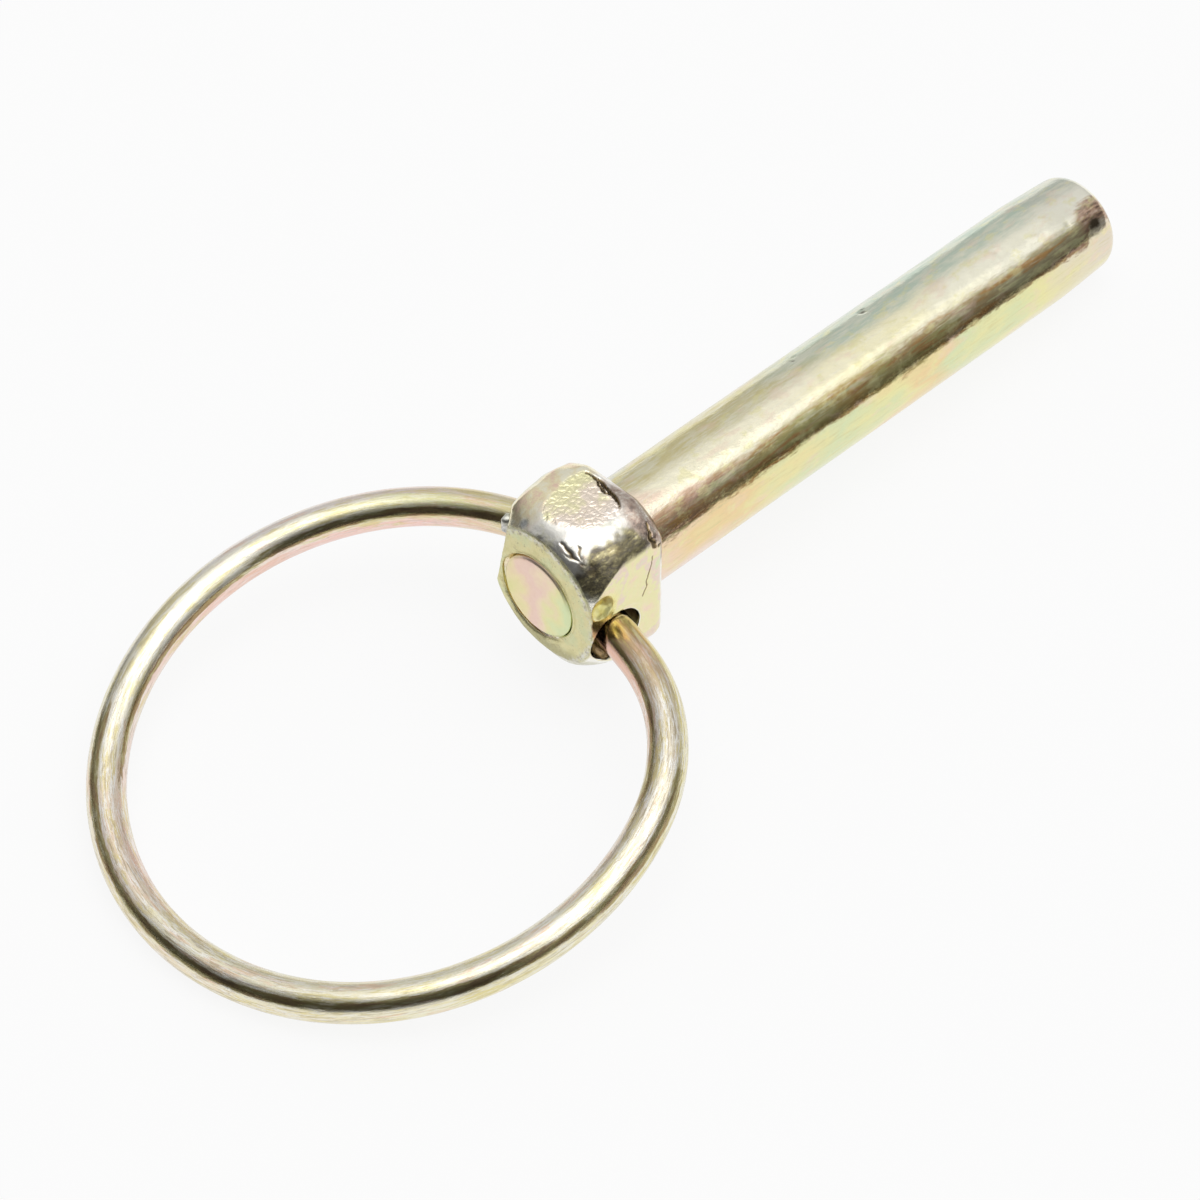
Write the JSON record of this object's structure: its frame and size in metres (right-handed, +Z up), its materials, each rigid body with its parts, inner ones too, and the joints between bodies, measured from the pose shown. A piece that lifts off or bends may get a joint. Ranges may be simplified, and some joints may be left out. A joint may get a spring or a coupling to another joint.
{
  "type": "linch pin",
  "caption": "Linch pin with a round shank, a crimped forged head and a sprung wire ring that swings over to lock it.",
  "frame": {"origin": "on the table under the middle of the part's box, with the pin laid down and its ring open", "axes": "+X towards the shank's tip, seen from above; +Z up; the pin lies tip and ring down, its shank sloping down to the tip"},
  "size_m": [0.1124, 0.0526, 0.0187],
  "materials": {
    "shank_plating": "yellow zinc plated, glossy, iridescent",
    "head_plating": "yellow zinc plated, forged, uneven",
    "ring_plating": "yellow zinc plated, drawn spring wire"
  },
  "bodies": {
    "pin": {"shank": "shank_plating", "head": "head_plating"},
    "ring": {"ring": "ring_plating"}
  },
  "joints": [
    {"name": "ring_swing", "type": "hinge", "parent": "pin", "child": "ring", "pos_m": [-0.0087, -0.00085, 0.00948], "axis": [0.2218, 0.9744, 0.0374], "range_deg": [-155, 183]}
  ]
}
